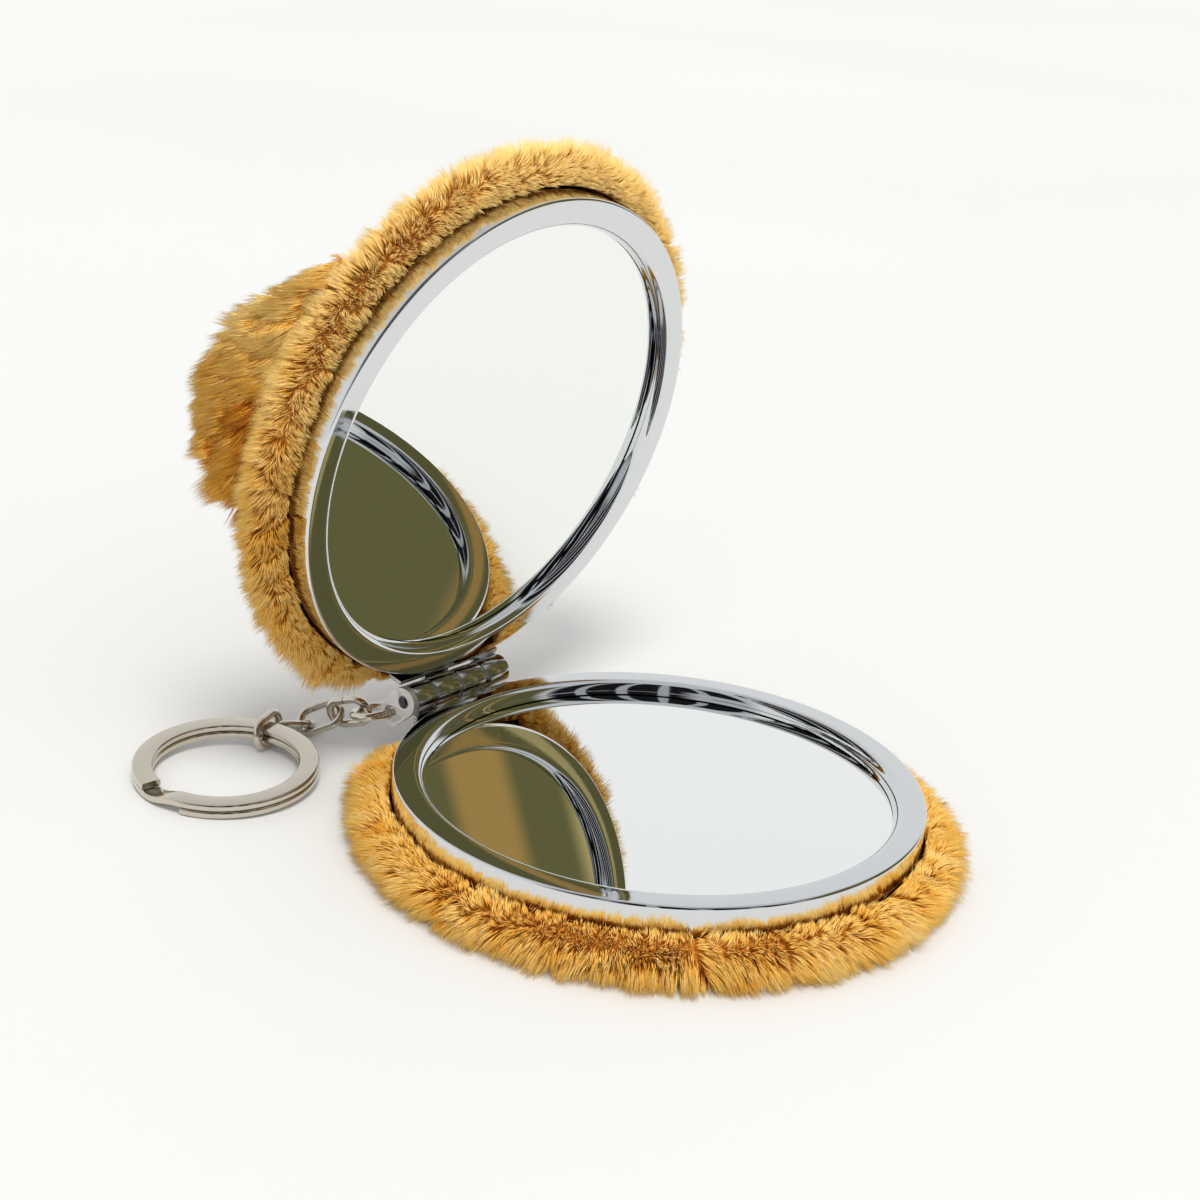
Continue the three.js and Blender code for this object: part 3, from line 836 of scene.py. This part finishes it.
# ---------- hinge ----------
def outline_solid(outline, holes, x0, x1, bevel):
    """A flat outline in the YZ plane, with round holes, made x1 - x0 thick along X with softened edges."""
    curve = bpy.data.curves.new("outline", "CURVE")
    curve.dimensions, curve.fill_mode = "2D", "BOTH"
    curve.extrude = (x1 - x0) / 2 - bevel
    curve.bevel_depth, curve.bevel_resolution, curve.offset = bevel, 2, -bevel
    for ring in [outline, *holes]:
        spline = curve.splines.new("POLY")
        spline.points.add(len(ring) - 1)
        for point, (y, z) in zip(spline.points, ring):
            point.co = (y, z, 0, 1)
        spline.use_cyclic_u = True
    maker = bpy.data.objects.new("outline", curve)
    bpy.context.scene.collection.objects.link(maker)
    bpy.context.view_layer.update()
    made = maker.evaluated_get(bpy.context.evaluated_depsgraph_get())
    mesh = bpy.data.meshes.new_from_object(made)
    bm = bmesh.new()
    bm.from_mesh(mesh)
    bmesh.ops.remove_doubles(bm, verts=bm.verts, dist=1e-6)
    points = np.array([v.co for v in bm.verts])
    faces = [tuple(v.index for v in f.verts) for f in bm.faces]
    bm.free()
    bpy.data.objects.remove(maker)
    bpy.data.curves.remove(curve)
    middle = (x0 + x1) / 2
    return np.column_stack([points[:, 2] + middle, points[:, 0], points[:, 1]]), faces


def circle(y, z, radius, start=0, end=360, steps=48):
    whole = end - start >= 360
    angles = np.radians(np.linspace(start, end, steps + (not whole), endpoint=not whole))
    return [(y + radius * math.cos(a), z + radius * math.sin(a)) for a in angles]


def make_leaf(body, first, lug):
    """Every second curled knuckle, the bent strip that joins them and, on one leaf, the lug plate."""
    low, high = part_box("base_hinge_leaf")
    x_low, x_high = low.x, high.x
    step = (x_high - x_low + KNUCKLE_GAP) / KNUCKLES
    to_half = FRAMES[body].inverted()
    axis = to_half @ Vector(hinge_at)
    y0 = RIM_R + LEAF_GAP
    tail = LEAF_TOP + TAIL_T
    bottom = RIM_WALL + PAN_ROOM + LEAF_T
    parts = []
    top = math.degrees(math.asin(min(1, (tail - axis.z) / BARREL_R)))
    root = math.degrees(math.asin((LEAF_TOP - axis.z) / BARREL_R))
    for i in range(first, KNUCKLES, 2):
        x0 = x_low + i * step
        x1 = x0 + step - KNUCKLE_GAP
        if lug and i == first:
            x0 += LUG_T
        ring = circle(axis.y, axis.z, BARREL_R, -180 - root, 180 - top, 64)
        ring += [(y0 + TAIL_OVERLAP, tail), (y0 + TAIL_OVERLAP, LEAF_TOP)]
        bore = circle(axis.y, axis.z, BORE_R, steps=40)
        parts.append(outline_solid(ring, [bore], x0, x1, KNUCKLE_EDGE))
    strip = [
        (y0, LEAF_TOP), (y0 + LEAF_T, LEAF_TOP), (y0 + LEAF_T, bottom),
        (y0 - LEAF_REACH, bottom), (y0 - LEAF_REACH, bottom - LEAF_T), (y0, bottom - LEAF_T),
    ]
    parts.append(outline_solid(strip, [], x_low, x_high, LEAF_EDGE))
    plain = sum(len(faces) for _, faces in parts)
    if lug:
        y, z = axis.y + LUG_DROP, axis.z + LUG_DROP
        plate = circle(y, z, LUG_R, -45, 135, 40) + circle(axis.y, axis.z, BARREL_R, 135, 315, 40)
        holes = [circle(y, z, LUG_HOLE_R, steps=36), circle(axis.y, axis.z, BORE_R, steps=40)]
        parts.append(outline_solid(plate, holes, x_low, x_low + LUG_T, LEAF_EDGE))
    parts = [(np.asarray(p) * (-1 if body == "base" else 1, 1, 1), f) for p, f in parts]
    if body == "base":
        parts = [(p, [tuple(reversed(face)) for face in f]) for p, f in parts]
    points, faces = join(parts)
    leaf = add_piece(
        f"{body}_chrome_hinge_leaf", placed(points, FRAMES[body]), faces, [HINGE_CHROME, LUG_FACE],
        body, [f"{body}_hinge_leaf"],
    )
    for face in leaf.data.polygons[plain:]:
        face.material_index = 1


def make_pin():
    low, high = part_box("hinge_pin")
    middle = (low + high) / 2
    half = (high.x - low.x) / 2
    quarter = np.linspace(0, math.pi / 2, 7)
    dome = [(PIN_R * math.cos(a), half - PIN_DOME + PIN_DOME * math.sin(a)) for a in quarter]
    dome[-1] = (0, half)
    profile = [(r, -z) for r, z in dome[::-1]] + dome
    points, faces = lathe(profile, 32, closed=False)
    matrix = Matrix.Translation(middle) @ Matrix.Rotation(math.pi / 2, 4, "Y")
    body = next(name for name, nodes in BODIES.items() if "hinge_pin" in nodes)
    add_piece("domed_hinge_pin", placed(points, matrix), faces, [STEEL], body, ["hinge_pin"])


# ---------- chain ----------
def own_axes(points):
    """Centre and axes of a flat piece: its length, its width, and its normal."""
    axes = np.linalg.svd(points - points.mean(0))[2]
    spans = (points - points.mean(0)) @ axes.T
    centre = points.mean(0) + ((spans.max(0) + spans.min(0)) / 2) @ axes
    return centre, axes, np.ptp(spans, axis=0)


def make_link(node, round_link):
    """A bent wire link, round or oval, with its open seam in the middle of one side."""
    centre, axes, size = own_axes(points_of(node))
    wire = 2 * WIRE_R
    length, width = size[0] - wire, (size[0] if round_link else size[1]) - wire
    end, leg = width / 2, length - width
    total = 2 * leg + 2 * math.pi * end
    steps = 96
    path, across = [], []
    for s in np.linspace(SEAM / 2, total - SEAM / 2, steps):
        s = (s + leg / 2) % total
        if s < leg:
            point, out = (leg / 2 - s, end), (0, 1)
        elif s < leg + math.pi * end:
            a = math.pi / 2 + (s - leg) / end
            out = (math.cos(a), math.sin(a))
            point = (-leg / 2 + end * out[0], end * out[1])
        elif s < 2 * leg + math.pi * end:
            point, out = (-leg / 2 + s - leg - math.pi * end, -end), (0, -1)
        else:
            a = -math.pi / 2 + (s - 2 * leg - math.pi * end) / end
            out = (math.cos(a), math.sin(a))
            point = (leg / 2 + end * out[0], end * out[1])
        path.append(centre + point[0] * axes[0] + point[1] * axes[1])
        across.append((out[0] * axes[0] + out[1] * axes[1], axes[2]))
    section = circle(0, 0, WIRE_R, steps=20)
    points, faces = sweep(path, section, across)
    add_piece(f"{node}_wire", points, faces, [NICKEL], node, [node], sharp=50)


def make_key_ring():
    """A flat strip wound nearly twice round, with a jog where it climbs onto itself."""
    _, axes, size = own_axes(points_of("key_ring"))
    swing = next(j for j in frame["joints"] if j["child"] == "key_ring")
    up = axes[2] if axes[2][2] > 0 else -axes[2]
    low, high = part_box("key_ring")
    centre = np.array((low + high) / 2)
    x = centre - np.array(swing["pos_m"], float)
    x -= up * (x @ up)
    x /= np.linalg.norm(x)
    y = np.cross(up, x)
    mid_r = size[0] / 2 - STRIP["wide"] / 2
    steps = 240
    half_jog = STRIP["jog"] / STRIP["sweep"] / 2
    path, across = [], []
    for t in np.linspace(0, 1, steps):
        a = math.radians(STRIP["sweep"] * t)
        out = math.cos(a) * x + math.sin(a) * y
        rise = smooth_between(t, 0.5 - half_jog, 0.5 + half_jog) - 0.5
        path.append(centre + mid_r * out + STRIP["pitch"] * rise * up)
        across.append((out, up))
    w, h, r = STRIP["wide"] / 2, STRIP["thick"] / 2, STRIP["edge"]
    section = []
    for sx, sy, start in ((1, 1, 0), (-1, 1, 90), (-1, -1, 180), (1, -1, 270)):
        section += circle(sx * (w - r), sy * (h - r), r, start, start + 90, 4)
    points, faces = sweep(path, section, across)
    add_piece("split_key_ring", points, faces, [NICKEL], "key_ring", ["key_ring"], sharp=50)


def make_floor():
    n, shader, material = principled("pale_floor", Roughness=0.6)
    tone = n.noise(3, 1)
    colour = n.ramp(tone, [(0.3, srgb(212, 212, 210)), (0.7, srgb(215, 215, 213))])
    n.set(shader, "Base Color", colour)
    mesh = bpy.data.meshes.new("floor")
    reach = 4.0
    corners = [(-reach, -reach, 0), (reach, -reach, 0), (reach, reach, 0), (-reach, reach, 0)]
    mesh.from_pydata(corners, [], [(0, 1, 2, 3)])
    mesh.materials.append(material)
    floor = bpy.data.objects.new("floor", mesh)
    bpy.context.scene.collection.objects.link(floor)


def finish_cad_nodes(finishes):
    """Gives each CAD node that still shows, or stays inside, its material."""
    for ending, material in finishes.items():
        for name, node in frame["nodes"].items():
            if name.endswith(ending):
                node.data.materials.clear()
                node.data.materials.append(material)


make_camera()
make_world()
make_floor()
sun("key", azimuth=-42, elevation=62, angle=22, strength=2.0, colour=(1.0, 0.98, 0.95))
sun("fill", azimuth=-34, elevation=42, angle=60, strength=1.15)
bpy.context.scene.view_settings.view_transform = "Standard"

FRAMES = {"base": half_frame("base"), "lid": half_frame("lid")}
CHROME = metal("chrome", srgb(219, 221, 223), rough=0.04, wave_scale=60, wave=0.08)
HINGE_CHROME = metal(
    "hinge_chrome", srgb(196, 197, 199), rough=0.08, wave_scale=2600, wave=0.5, stretch=(0.03, 1, 1)
)
NICKEL = metal("nickel", srgb(208, 200, 186), rough=0.14, wave_scale=240, wave=0.15)
LUG_FACE = metal("brushed_lug", srgb(240, 241, 241), rough=0.55, wave_scale=1500, wave=0.3)
STEEL = metal("steel", srgb(120, 120, 122), rough=0.35, wave_scale=400, wave=0.2)
BACKING = woven_backing()
FIBRE = speckled("fibre", srgb(232, 228, 218), srgb(250, 247, 240), scale=400, rough=1.0, bump=0.8)
PILE_MATERIALS = [pile_material(number, tint) for number, tint in enumerate(TINTS)]

for half in ("base", "lid"):
    make_rim(half)
make_leaf("base", first=0, lug=True)
make_leaf("lid", first=1, lug=False)
make_pin()
for body in BODIES:
    if body.startswith("chain_link"):
        make_link(body, round_link=False)
make_link("lug_ring", round_link=True)
make_key_ring()

finish_cad_nodes({
    "_mirror": glass_mirror(),
    "_back_pan": metal("tinned_pan", srgb(170, 172, 175), rough=0.3, wave_scale=90, wave=0.2),
    "_magnet": metal("magnet_plate", srgb(190, 190, 192), rough=0.22, wave_scale=300, wave=0.2),
    "_mirror_tape": speckled(
        "tape", srgb(214, 214, 208), srgb(232, 232, 226), scale=500, rough=0.7, bump=0.3
    ),
    "_foam_pad": speckled(
        "foam", srgb(226, 216, 190), srgb(245, 238, 218), scale=900, rough=0.95, bump=0.8
    ),
})

cover_pile("base", make_cover("base", BASE_SKIN))
cover_pile("lid", make_cover("lid", LID_SKIN))
for side in ("left", "right"):
    ear_pile(side, make_ear(side))
